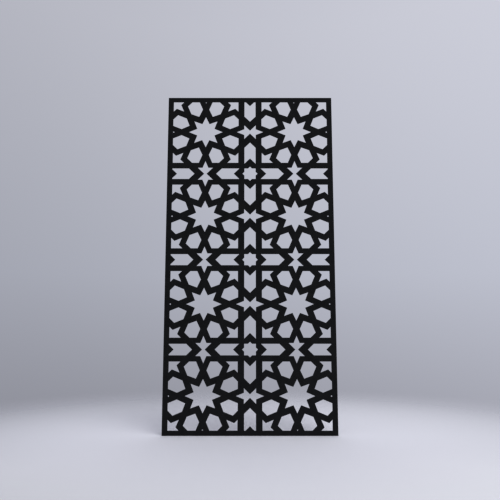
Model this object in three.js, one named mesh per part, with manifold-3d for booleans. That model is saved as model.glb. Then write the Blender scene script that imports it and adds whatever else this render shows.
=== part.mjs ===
// Mashrabiya screen: one flat steel sheet with a laser-cut strapwork pattern of eight-fold
// rosettes, two columns and four rows, parted by one upright band and three level bands.
// Units are millimetres. X runs across the sheet, Z up, and the front faces -Y. The origin is on
// the back face, on the centre line, level with the two screw holes in the bottom rail.

import * as THREE from 'three';
import { mergeVertices } from 'three/addons/utils/BufferGeometryUtils.js';
import Module from 'manifold-3d';

// The sheet and the plain rails round the pattern
const SHEET_WIDTH = 1000;
const SHEET_HEIGHT = 2000;
const SHEET_THICKNESS = 3;
const RAIL_SIDE = 30.4;
const RAIL_END = 27.8;

// The screw holes, in line with the middles of the rosettes, measured in from the sheet's edge
const SIDE_HOLE_INSET = 34.1;
const SIDE_HOLE_DIAMETER = 8;
const END_HOLE_INSET = 31.3;
const END_HOLE_DIAMETER = 6.4;
const SCREW_HOLE_SIDES = 16;

// The pattern as drawn, with one pitch both ways, before it is fitted between the rails. It is
// set out by the middle lines of its straps.
const COLUMNS = 2;
const ROWS = 4;
const PITCH = 539.2;
const BAND_WIDTH = 103.8;
const STAR_TIP_RADIUS = 145.1;
const STAR_NOTCH_RADIUS = 82.7;
const CHEVRON_POINT_UPRIGHT = 39;
const CHEVRON_POINT_LEVEL = 36.5;
const SMALL_STAR_RADIUS = 71.8;
const END_RAIL_OVERLAP = 3;

// Half the width of each kind of strap
const HALF_BORDER = 17.8;
const HALF_RAY = 16.5;
const HALF_STAR = 18.7;
const HALF_KITE = 17.5;
const HALF_CHEVRON = 20.3;
const HALF_ARROW_TAIL = 18.2;

// Where the border strap is wider or narrower beside one kind of hole
const HALF_BORDER_AT_UPRIGHT_BOW = 16.8;
const HALF_BORDER_AT_LEVEL_BOW = 13.3;
const HALF_BORDER_AT_CORNER_STAR = 19;

// How far the rosette star's tips are drawn out to the sides, and in at the top and bottom
const STAR_DRAWN_OUT = 3.3;
const STAR_DRAWN_IN = 1.4;

// How far a cutting tool stands out of the sheet on each face
const CUT_CLEARANCE = 1;

const powderCoat = new THREE.MeshStandardMaterial({ color: '#1b1b1c', roughness: 0.62, metalness: 0 });

const wasm = await Module();
wasm.setup();

// The places where the middle lines of the straps meet. Rays run at 22.5 degrees to the axes of
// a rosette, and chevrons and arrow tails at 45 degrees to the bands.
const halfPitch = PITCH / 2;
const halfBand = BAND_WIDTH / 2;
const border = halfPitch - halfBand;
const raySlope = Math.tan(Math.PI / 8);
const rayEnd = (border - STAR_TIP_RADIUS) * raySlope;
const starDiagonal = STAR_TIP_RADIUS / Math.SQRT2;
const notchNear = STAR_NOTCH_RADIUS * Math.sin(Math.PI / 8);
const notchFar = STAR_NOTCH_RADIUS * Math.cos(Math.PI / 8);
const tailNotch = halfPitch - SMALL_STAR_RADIUS;
const tailEnd = tailNotch + halfBand;

// The chevrons across the upright bands stand a little further out than those across the level
// bands, and a chevron carries on as the outer edge of a kite to the ray from the star's corner
function chevron(point, halfBorderAtBow) {
  const reach = (halfPitch + point - 2 * starDiagonal) / (1 + raySlope);
  return {
    point,
    halfBorderAtBow,
    end: point + halfBand,
    kiteFar: starDiagonal + reach,
    kiteNear: starDiagonal + reach * raySlope,
  };
}
const uprightBand = chevron(CHEVRON_POINT_UPRIGHT, HALF_BORDER_AT_UPRIGHT_BOW);
const levelBand = chevron(CHEVRON_POINT_LEVEL, HALF_BORDER_AT_LEVEL_BOW);

// The pattern is fitted between the rails, which lie over its outermost edge at the two ends
const fieldWidth = SHEET_WIDTH - 2 * RAIL_SIDE;
const fieldHeight = SHEET_HEIGHT - 2 * RAIL_END;
const cellEdge = border - HALF_BORDER;
const stretchX = fieldWidth / ((COLUMNS - 1) * PITCH + 2 * cellEdge);
const stretchY = fieldHeight / ((ROWS - 1) * PITCH + 2 * (cellEdge - END_RAIL_OVERLAP));

// Repeats a quarter outline, which runs anticlockwise from the x axis to the y axis, all round
function fourQuarters(quarter) {
  const left = quarter.slice(0, -1).reverse().map(([x, y]) => [-x, y]);
  const upper = [...quarter, ...left];
  const lower = upper.slice(1, -1).reverse().map(([x, y]) => [x, -y]);
  return [...upper, ...lower];
}

// Gives the hole inside an anticlockwise outline of strap middle lines, whose edges move inwards
// by half a strap. The list of half widths is repeated until every edge has one.
function holeInside(outline, halfWidths) {
  const edges = outline.map(([x, y], i) => {
    const start = new THREE.Vector2(x, y);
    const along = new THREE.Vector2(...outline[(i + 1) % outline.length]).sub(start).normalize();
    const inwards = new THREE.Vector2(-along.y, along.x);
    return { start: start.addScaledVector(inwards, halfWidths[i % halfWidths.length]), along };
  });
  return edges.map((edge, i) => {
    const before = edges.at(i - 1);
    const gap = edge.start.clone().sub(before.start);
    const reach = gap.cross(edge.along) / before.along.cross(edge.along);
    return before.start.clone().addScaledVector(before.along, reach);
  });
}

// The eight-pointed star in the middle of a rosette
function rosetteStar() {
  const hole = holeInside(
    fourQuarters([
      [STAR_TIP_RADIUS, 0],
      [notchFar, notchNear],
      [starDiagonal, starDiagonal],
      [notchNear, notchFar],
      [0, STAR_TIP_RADIUS],
    ]),
    [HALF_STAR],
  );
  const [right, top, left, bottom] = [0, 4, 8, 12].map((i) => hole[i]);
  right.x += STAR_DRAWN_OUT;
  left.x -= STAR_DRAWN_OUT;
  top.y -= STAR_DRAWN_IN;
  bottom.y += STAR_DRAWN_IN;
  return hole;
}

// One of the eight six-sided petals round the star, beside an upright band. Turned, with the
// level band's chevron, it is one beside a level band.
function petal(band) {
  return holeInside(
    [
      [notchFar, notchNear],
      [STAR_TIP_RADIUS, 0],
      [border, rayEnd],
      [border, band.end],
      [band.kiteFar, band.kiteNear],
      [starDiagonal, starDiagonal],
    ],
    [HALF_STAR, HALF_RAY, HALF_BORDER, HALF_KITE, HALF_KITE, HALF_STAR],
  );
}

// The three-pointed quarter of a star that fills a corner of the rosette's square
function cornerStar() {
  return holeInside(
    [
      [border, border],
      [levelBand.end, border],
      [levelBand.kiteNear, levelBand.kiteFar],
      [starDiagonal, starDiagonal],
      [uprightBand.kiteFar, uprightBand.kiteNear],
      [border, uprightBand.end],
    ],
    [HALF_BORDER, HALF_KITE, HALF_KITE, HALF_KITE, HALF_KITE, HALF_BORDER_AT_CORNER_STAR],
  );
}

// The bow-tie in a band, drawn upright about its middle
function bowTie({ point, end, halfBorderAtBow }) {
  return holeInside(
    fourQuarters([
      [halfPitch - STAR_TIP_RADIUS, 0],
      [halfBand, rayEnd],
      [halfBand, end],
      [0, point],
    ]),
    [HALF_RAY, halfBorderAtBow, HALF_CHEVRON, HALF_CHEVRON, halfBorderAtBow, HALF_RAY],
  );
}

// The notched arrow above a bow-tie, drawn about the middle of the bow-tie
function arrow({ point, end }) {
  return holeInside(
    [
      [0, point],
      [halfBand, end],
      [halfBand, tailEnd],
      [0, tailNotch],
      [-halfBand, tailEnd],
      [-halfBand, end],
    ],
    [HALF_CHEVRON, HALF_BORDER, HALF_ARROW_TAIL, HALF_ARROW_TAIL, HALF_BORDER, HALF_CHEVRON],
  );
}

// The small eight-pointed star where two bands cross
function smallStar() {
  const shoulder = SMALL_STAR_RADIUS - halfBand;
  return holeInside(
    fourQuarters([
      [SMALL_STAR_RADIUS, 0],
      [halfBand, shoulder],
      [halfBand, halfBand],
      [shoulder, halfBand],
      [0, SMALL_STAR_RADIUS],
    ]),
    [HALF_ARROW_TAIL, HALF_BORDER, HALF_BORDER, HALF_ARROW_TAIL],
  );
}

const mirrored = (hole, signX, signY) => hole.map((p) => new THREE.Vector2(signX * p.x, signY * p.y));
const turned = (hole) => hole.map((p) => new THREE.Vector2(p.y, p.x));
const allMirrored = (hole) => [1, -1].flatMap((x) => [1, -1].map((y) => mirrored(hole, x, y)));

// Evenly spaced places about zero, one pitch apart
function centres(count) {
  return Array.from({ length: count }, (_, i) => (i - (count - 1) / 2) * PITCH);
}

// Every hole of the pattern in drawn sizes, about the middle of the sheet
function patternHoles() {
  const columns = centres(COLUMNS);
  const rows = centres(ROWS);
  const uprightBands = centres(COLUMNS - 1);
  const levelBands = centres(ROWS - 1);
  const bandMotif = (band) => [bowTie(band), arrow(band), mirrored(arrow(band), 1, -1)];
  const rosette = [
    rosetteStar(),
    ...allMirrored(petal(uprightBand)),
    ...allMirrored(turned(petal(levelBand))),
    ...allMirrored(cornerStar()),
  ];
  const holes = [];
  const repeat = (group, xs, ys) => {
    for (const x of xs) {
      for (const y of ys) {
        const centre = new THREE.Vector2(x, y);
        holes.push(...group.map((hole) => hole.map((p) => p.clone().add(centre))));
      }
    }
  };
  repeat(rosette, columns, rows);
  repeat(bandMotif(uprightBand), uprightBands, rows);
  repeat(bandMotif(levelBand).map(turned), columns, levelBands);
  repeat([smallStar()], uprightBands, levelBands);
  return holes;
}

// Cuts an outline off along one rail, where reach says how far a corner lies inside the field
function trimmed(hole, reach) {
  return hole.flatMap((corner, i) => {
    const next = hole[(i + 1) % hole.length];
    const here = reach(corner);
    const there = reach(next);
    const kept = here >= 0 ? [corner] : [];
    if (here * there < 0) kept.push(corner.clone().lerp(next, here / (here - there)));
    return kept;
  });
}

// Fits a drawn hole to the sheet, and trims it by the four rails
function fitted(hole) {
  let result = hole.map((p) => new THREE.Vector2(p.x * stretchX, p.y * stretchY));
  for (const side of [1, -1]) {
    result = trimmed(result, (p) => fieldWidth / 2 - side * p.x);
    result = trimmed(result, (p) => fieldHeight / 2 - side * p.y);
  }
  return result;
}

function toSolid(geometry) {
  geometry.deleteAttribute('normal');
  geometry.deleteAttribute('uv');
  const merged = mergeVertices(geometry);
  const triVerts = new Uint32Array(merged.index.array);
  const vertProperties = new Float32Array(merged.attributes.position.array);
  return new wasm.Manifold(new wasm.Mesh({ numProp: 3, vertProperties, triVerts }));
}

function toGeometry(solid) {
  const mesh = solid.getMesh();
  const geometry = new THREE.BufferGeometry();
  geometry.setAttribute('position', new THREE.BufferAttribute(mesh.vertProperties, 3));
  geometry.setIndex(new THREE.BufferAttribute(mesh.triVerts, 1));
  geometry.computeVertexNormals();
  return geometry;
}

const cutDepth = SHEET_THICKNESS + 2 * CUT_CLEARANCE;

function patternCutter(hole) {
  const shape = new THREE.Shape(hole);
  const geometry = new THREE.ExtrudeGeometry(shape, { depth: cutDepth, bevelEnabled: false });
  return toSolid(geometry.translate(0, 0, -CUT_CLEARANCE));
}

function screwCutter(x, y, diameter) {
  const radius = diameter / 2;
  const geometry = new THREE.CylinderGeometry(radius, radius, cutDepth, SCREW_HOLE_SIDES);
  return toSolid(geometry.rotateX(Math.PI / 2).translate(x, y, SHEET_THICKNESS / 2));
}

// Four screw holes on each long side and two at each end, for two columns and four rows
function screwCutters() {
  const cutters = [];
  for (const side of [1, -1]) {
    for (const y of centres(ROWS)) {
      const x = side * (SHEET_WIDTH / 2 - SIDE_HOLE_INSET);
      cutters.push(screwCutter(x, y * stretchY, SIDE_HOLE_DIAMETER));
    }
    for (const x of centres(COLUMNS)) {
      const y = side * (SHEET_HEIGHT / 2 - END_HOLE_INSET);
      cutters.push(screwCutter(x * stretchX, y, END_HOLE_DIAMETER));
    }
  }
  return cutters;
}

// The sheet lies on its back to be cut, and is then stood up
function screenGeometry() {
  const sheet = new THREE.BoxGeometry(SHEET_WIDTH, SHEET_HEIGHT, SHEET_THICKNESS);
  const holes = patternHoles().map(fitted).filter((hole) => hole.length > 2);
  let solid = toSolid(sheet.translate(0, 0, SHEET_THICKNESS / 2));
  for (const cutter of [...holes.map(patternCutter), ...screwCutters()]) {
    solid = solid.subtract(cutter);
  }
  return toGeometry(solid).rotateX(Math.PI / 2);
}

const screenPanel = new THREE.Mesh(screenGeometry(), powderCoat);
screenPanel.name = 'screen_panel';
screenPanel.position.z = SHEET_HEIGHT / 2 - END_HOLE_INSET;

const mashrabiyaScreen = new THREE.Group();
mashrabiyaScreen.add(screenPanel);

export default mashrabiyaScreen;
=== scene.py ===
import math

import bmesh
import bpy
import numpy as np
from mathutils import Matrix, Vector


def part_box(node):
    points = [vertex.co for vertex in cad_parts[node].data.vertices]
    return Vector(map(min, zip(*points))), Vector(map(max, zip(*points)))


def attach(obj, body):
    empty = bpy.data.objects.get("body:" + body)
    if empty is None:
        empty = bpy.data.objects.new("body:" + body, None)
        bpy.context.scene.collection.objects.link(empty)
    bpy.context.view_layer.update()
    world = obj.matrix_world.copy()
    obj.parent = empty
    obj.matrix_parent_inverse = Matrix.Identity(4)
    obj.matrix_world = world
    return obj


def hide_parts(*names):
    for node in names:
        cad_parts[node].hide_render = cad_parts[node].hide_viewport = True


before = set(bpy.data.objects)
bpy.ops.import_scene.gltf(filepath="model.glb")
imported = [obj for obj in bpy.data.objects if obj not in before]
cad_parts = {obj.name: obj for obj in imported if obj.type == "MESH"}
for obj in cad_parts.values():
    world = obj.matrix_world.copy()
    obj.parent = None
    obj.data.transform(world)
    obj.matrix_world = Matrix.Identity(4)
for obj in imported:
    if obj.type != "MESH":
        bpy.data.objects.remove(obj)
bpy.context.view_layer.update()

# The screen panel
# One sheet of mild steel, laser-cut right through with the star and strap pattern and with small
# round screw holes near its edge. The cut edges are deburred and the whole sheet is powder
# coated, so every arris is rounded by about half a millimetre.
MM = 0.001
ARRIS_RADIUS = 0.5 * MM
ARRIS_STEPS = 4
FACE_TOLERANCE = 0.05 * MM
SCREW_HOLE_CAD_SIDES = 16
SCREW_HOLE_SIDES = 64
ROUNDNESS_TOLERANCE = 0.01


def outlines(mesh, depth):
    """Closed outlines, as (x, z) points, of the flat face at this depth, metal on their left."""
    flat = bmesh.new()
    flat.from_mesh(mesh)
    bmesh.ops.remove_doubles(flat, verts=flat.verts, dist=FACE_TOLERANCE)
    elsewhere = [v for v in flat.verts if abs(v.co.y - depth) > FACE_TOLERANCE]
    bmesh.ops.delete(flat, geom=elsewhere, context="VERTS")
    after = {}
    for edge in flat.edges:
        if edge.is_boundary:
            corner = edge.link_loops[0]
            after[corner.vert] = corner.link_loop_next.vert
    loops = []
    while after:
        start, vertex = after.popitem()
        loop = [start]
        while vertex != start:
            loop.append(vertex)
            vertex = after.pop(vertex)
        loops.append(np.array([(vertex.co.x, vertex.co.z) for vertex in loop]))
    flat.free()
    return loops


def drilled(loop):
    """A screw hole's outline with enough sides to look round; other outlines stay as they are."""
    middle = loop.mean(axis=0)
    radii = np.hypot(*(loop - middle).T)
    radius = radii.mean()
    if len(loop) != SCREW_HOLE_CAD_SIDES or np.ptp(radii) > ROUNDNESS_TOLERANCE * radius:
        return loop
    turn = -np.linspace(0, 2 * math.pi, SCREW_HOLE_SIDES, endpoint=False)
    return middle + radius * np.column_stack([np.cos(turn), np.sin(turn)])


def moved_in(loop, distance):
    """The outline with each edge moved this far into the metal."""
    runs = np.roll(loop, -1, axis=0) - loop
    runs /= np.hypot(*runs.T)[:, None]
    after = np.column_stack([-runs[:, 1], runs[:, 0]])
    before = np.roll(after, 1, axis=0)
    return loop + distance * (before + after) / (1 + (before * after).sum(axis=1))[:, None]


def coated_sheet(loops, front, back):
    """The sheet between the planes y = front and y = back, with every arris rounded. Each outline
    gives a cut edge of rings from front to back, and the two faces are filled between the cuts."""
    turns = np.linspace(0, math.pi / 2, ARRIS_STEPS + 1)
    arris = [(ARRIS_RADIUS * (1 - math.sin(t)), ARRIS_RADIUS * (1 - math.cos(t))) for t in turns]
    rings = [(inset, front + depth) for inset, depth in arris]
    rings += [(inset, back - depth) for inset, depth in reversed(arris)]
    build = bmesh.new()
    on_arris = build.verts.layers.float.new("arris")
    front_rim = []
    back_rim = []
    for loop in loops:
        cut = []
        for step, (inset, y) in enumerate(rings):
            cut.append([build.verts.new((x, y, z)) for x, z in moved_in(loop, inset)])
            for vertex in cut[-1]:
                vertex[on_arris] = float(0 < step % (ARRIS_STEPS + 1) < ARRIS_STEPS)
        for here, there in zip(cut, cut[1:]):
            for i in range(len(loop)):
                strip = build.faces.new((here[i], here[i - 1], there[i - 1], there[i]))
                strip.smooth = True
        for rim, ring in ((front_rim, cut[0]), (back_rim, cut[-1])):
            rim += [build.edges.get((ring[i - 1], ring[i])) for i in range(len(ring))]
    for rim, way in ((front_rim, (0, -1, 0)), (back_rim, (0, 1, 0))):
        bmesh.ops.triangle_fill(build, edges=rim, use_beauty=True, normal=way)
    bmesh.ops.recalc_face_normals(build, faces=build.faces)
    mesh = bpy.data.meshes.new("screen_sheet")
    build.to_mesh(mesh)
    build.free()
    return mesh


def linear(hex_colour):
    """An sRGB hex colour as the linear colour that a shader takes."""
    shares = [int(hex_colour[i : i + 2], 16) / 255 for i in (1, 3, 5)]
    return [s / 12.92 if s <= 0.04045 else ((s + 0.055) / 1.055) ** 2.4 for s in shares] + [1]


def add(tree, kind, links=(), **settings):
    """Adds a node, sets its properties and sockets by name, and links its inputs to outputs."""
    made = tree.nodes.new(kind)
    for name, value in settings.items():
        if hasattr(made, name):
            setattr(made, name, value)
        else:
            made.inputs[name.replace("_", " ")].default_value = value
    for socket, source in dict(links).items():
        tree.links.new(source, made.inputs[socket])
    return made


# The coat's patterns, by the width of one patch. The sandy grain of a fine-texture powder is
# about 0.4 mm wide, which is too fine to show, so it is drawn twice as coarse.
GRAIN_WIDTH = 0.8 * MM
PEEL_WIDTH = 4 * MM
SETTLED_WIDTH = 12 * MM
MOTTLE_WIDTH = 90 * MM
GRAIN_HEIGHT = 0.12 * MM
PEEL_HEIGHT = 0.3 * MM
MOTTLE_SPAN = (0.4, 0.6)

COAT_DEEP = "#070808"
COAT_LIGHT = "#1e1f1f"
COAT_THIN = "#2c2d2e"
# A lighter colour painted on the grain's peaks, a painted highlight
GRAIN_PAINTED_HIGHLIGHT = "#343536"
DUST = "#6a6963"
COAT_SMOOTH = 0.48
COAT_ROUGH = 0.7


def powder_coat():
    """Fine-texture black polyester powder coat, sprayed and oven-cured. To the eye it is a flat
    black with a faint sheen at a glancing angle, a sandy grain over a slight orange peel, a
    cloudy mottle from the spray gun's passes, arrises that shine a little where the coat has
    drawn thin, and a trace of dust on what faces up."""
    made = bpy.data.materials.new("black_fine_texture_powder_coat")
    made.use_nodes = True
    tree = made.node_tree
    tree.nodes.clear()
    where = add(tree, "ShaderNodeTexCoord").outputs["Object"]
    patterns = []
    for width, detail, roughness in (
        (GRAIN_WIDTH, 2.0, 0.5),
        (PEEL_WIDTH, 1.0, 0.5),
        (SETTLED_WIDTH, 6.0, 0.5),
        (MOTTLE_WIDTH, 8.0, 0.75),
    ):
        noise = add(
            tree,
            "ShaderNodeTexNoise",
            {"Vector": where},
            Scale=1 / width,
            Detail=detail,
            Roughness=roughness,
        )
        patterns.append(noise.outputs["Fac"])
    grain, peel, settled, mottle = patterns

    # The mottle clouds the black, and the grain's peaks are painted lighter: a painted highlight for
    # the light they would catch
    clouds = add(tree, "ShaderNodeValToRGB", {"Fac": mottle})
    deep, light = clouds.color_ramp.elements
    deep.position, light.position = MOTTLE_SPAN
    deep.color = linear(COAT_DEEP)
    light.color = linear(COAT_LIGHT)
    painted_highlight_on_peaks = add(tree, "ShaderNodeMapRange", {"Value": grain}, From_Min=0.55, From_Max=0.7, To_Max=0.6)
    grain_with_painted_highlight = add(
        tree,
        "ShaderNodeMixRGB",
        {"Fac": painted_highlight_on_peaks.outputs["Result"], "Color1": clouds.outputs["Color"]},
        Color2=linear(GRAIN_PAINTED_HIGHLIGHT),
    )

    # The coat has drawn thin along the arrises, here more and there less
    arris = add(tree, "ShaderNodeAttribute", attribute_name="arris").outputs["Fac"]
    thin = add(tree, "ShaderNodeMath", {0: arris, 1: settled}, operation="MULTIPLY").outputs["Value"]
    drawn_thin = add(
        tree,
        "ShaderNodeMixRGB",
        {"Fac": thin, "Color1": grain_with_painted_highlight.outputs["Color"]},
        Color2=linear(COAT_THIN),
    )

    # Dust has settled on the lower edges of the holes, which face up
    outward = add(tree, "ShaderNodeNewGeometry").outputs["Normal"]
    upward = add(tree, "ShaderNodeSeparateXYZ", {"Vector": outward}).outputs["Z"]
    ledge = add(tree, "ShaderNodeMapRange", {"Value": upward}, From_Min=0.4, From_Max=1.0, To_Max=0.7)
    dust = add(tree, "ShaderNodeMath", {0: ledge.outputs["Result"], 1: settled}, operation="MULTIPLY")
    colour = add(
        tree,
        "ShaderNodeMixRGB",
        {"Fac": dust.outputs["Value"], "Color1": drawn_thin.outputs["Color"]},
        Color2=linear(DUST),
    )

    # The mottle varies the sheen too, and the coat is smoother where it is thin
    sheen = add(
        tree,
        "ShaderNodeMapRange",
        {"Value": mottle},
        From_Min=MOTTLE_SPAN[0],
        From_Max=MOTTLE_SPAN[1],
        To_Min=COAT_SMOOTH,
        To_Max=COAT_ROUGH,
    )
    smoother = add(tree, "ShaderNodeMapRange", {"Value": thin}, To_Max=0.25)
    roughness = add(
        tree,
        "ShaderNodeMath",
        {0: sheen.outputs["Result"], 1: smoother.outputs["Result"]},
        operation="SUBTRACT",
    )
    grainy = add(tree, "ShaderNodeBump", {"Height": grain}, Strength=0.8, Distance=GRAIN_HEIGHT)
    surface = add(
        tree,
        "ShaderNodeBump",
        {"Height": peel, "Normal": grainy.outputs["Normal"]},
        Strength=0.6,
        Distance=PEEL_HEIGHT,
    )
    coat = add(
        tree,
        "ShaderNodeBsdfPrincipled",
        {
            "Base Color": colour.outputs["Color"],
            "Roughness": roughness.outputs["Value"],
            "Normal": surface.outputs["Normal"],
        },
        Specular_IOR_Level=0.42,
    )
    add(tree, "ShaderNodeOutputMaterial", {"Surface": coat.outputs["BSDF"]})
    return made


panel_low, panel_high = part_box("screen_panel")
cut_lines = [drilled(loop) for loop in outlines(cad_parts["screen_panel"].data, panel_low.y)]
panel = bpy.data.objects.new("laser_cut_panel", coated_sheet(cut_lines, panel_low.y, panel_high.y))
bpy.context.scene.collection.objects.link(panel)
panel.data.materials.append(powder_coat())
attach(panel, "root")
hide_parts("screen_panel")

# The floor
# A plain pale floor under the panel's lower edge, wider than it is deep. It fades into the pale
# surroundings, so that it has no edge from any side.
FLOOR_SOLID = 0.3
FLOOR_REACH = 1.3
FLOOR_WIDENED = 2
FLOOR_SIDES = 96
FLOOR_PAINT = "#e4e4e8"


def pale_floor():
    """Pale matt floor paint, rolled on. To the eye it is an even light grey without gloss, here
    see-through towards the rim."""
    made = bpy.data.materials.new("pale_floor_paint")
    made.use_nodes = True
    tree = made.node_tree
    tree.nodes.clear()
    where = add(tree, "ShaderNodeTexCoord").outputs["Object"]
    away = add(tree, "ShaderNodeVectorMath", {0: where}, operation="LENGTH").outputs["Value"]
    solid = add(
        tree,
        "ShaderNodeMapRange",
        {"Value": away},
        interpolation_type="SMOOTHSTEP",
        From_Min=FLOOR_SOLID,
        From_Max=FLOOR_REACH,
        To_Min=1.0,
        To_Max=0.0,
    )
    paint = add(
        tree,
        "ShaderNodeBsdfPrincipled",
        {"Alpha": solid.outputs["Result"]},
        Base_Color=linear(FLOOR_PAINT),
        Roughness=0.8,
        Specular_IOR_Level=0.2,
    )
    add(tree, "ShaderNodeOutputMaterial", {"Surface": paint.outputs["BSDF"]})
    return made


bpy.ops.mesh.primitive_circle_add(
    vertices=FLOOR_SIDES, radius=FLOOR_REACH, fill_type="NGON", location=(0, 0, panel_low.z)
)
floor = bpy.context.object
floor.name = "floor"
floor.scale.x = FLOOR_WIDENED
floor.data.materials.append(pale_floor())

# The light
# A pale even studio all round, darkest where the floor fades and lighter on the right, and one
# large soft lamp, high in front on the right, that lights the floor and leaves a soft shadow behind
# the panel. The lamp isn't mirrored in the coat, so the panel is evenly black from top to bottom.
STUDIO_LEFT = 0.76
STUDIO_RIGHT = 1.24
LAMP_SIZE = 5
LAMP_WATTS = 205
LAMP_PLACE = (3, -3.5, 7)
LAMP_TILT = (math.radians(25), math.radians(20), 0)

world = bpy.data.worlds.new("pale_studio")
bpy.context.scene.world = world
world.use_nodes = True
studio = world.node_tree
direction = add(studio, "ShaderNodeTexCoord").outputs["Generated"]
along = add(studio, "ShaderNodeSeparateXYZ", {"Vector": direction}).outputs

# The tones of the studio from below upwards: under the floor, where the floor fades, at eye height
# and above the panel. Each stands at a height given as the sine of its angle over the horizon.
studio_tones = [(-0.32, "#b7b8be"), (-0.22, "#91929a"), (0.05, "#a1a3ac"), (0.55, "#adaeb6")]
lowest = studio_tones[0][0]
highest = studio_tones[-1][0]
height = add(studio, "ShaderNodeMapRange", {"Value": along["Z"]}, From_Min=lowest, From_Max=highest)
tones = add(studio, "ShaderNodeValToRGB", {"Fac": height.outputs["Result"]})
for _ in studio_tones[2:]:
    tones.color_ramp.elements.new(1.0)
for stop, (rise, tone) in zip(tones.color_ramp.elements, studio_tones):
    stop.position = (rise - lowest) / (highest - lowest)
    stop.color = linear(tone)
side = add(
    studio,
    "ShaderNodeMapRange",
    {"Value": along["X"]},
    From_Min=-1.0,
    From_Max=1.0,
    To_Min=STUDIO_LEFT,
    To_Max=STUDIO_RIGHT,
)
backdrop = studio.nodes["Background"]
studio.links.new(tones.outputs["Color"], backdrop.inputs["Color"])
studio.links.new(side.outputs["Result"], backdrop.inputs["Strength"])

lamp_data = bpy.data.lights.new("soft_lamp", "AREA")
lamp_data.size = LAMP_SIZE
lamp_data.energy = LAMP_WATTS
lamp = bpy.data.objects.new("soft_lamp", lamp_data)
lamp.location = LAMP_PLACE
lamp.rotation_euler = LAMP_TILT
lamp.visible_glossy = False
bpy.context.scene.collection.objects.link(lamp)

# The plain view with more contrast keeps the thin dark straps as dark as they look by eye
bpy.context.scene.view_settings.view_transform = "Standard"
bpy.context.scene.view_settings.look = "High Contrast"

# The camera
# It stands square in front of the panel, a little below the middle, and looks slightly up. Its
# place follows from the panel's corners in the photograph.
CAMERA_FROM_FRONT = 2.513
CAMERA_ABOVE_EDGE = 0.782
CAMERA_UP_ANGLE = math.radians(6.25)
FOCAL_PIXELS = 426.9
IMAGE_PIXELS = 500
SENSOR_WIDTH = 36

camera_data = bpy.data.cameras.new("camera")
camera_data.sensor_width = SENSOR_WIDTH
camera_data.lens = SENSOR_WIDTH * FOCAL_PIXELS / IMAGE_PIXELS
camera = bpy.data.objects.new("camera", camera_data)
camera.location = (0, panel_low.y - CAMERA_FROM_FRONT, panel_low.z + CAMERA_ABOVE_EDGE)
camera.rotation_euler = (math.pi / 2 + CAMERA_UP_ANGLE, 0, 0)
bpy.context.scene.collection.objects.link(camera)
bpy.context.scene.camera = camera
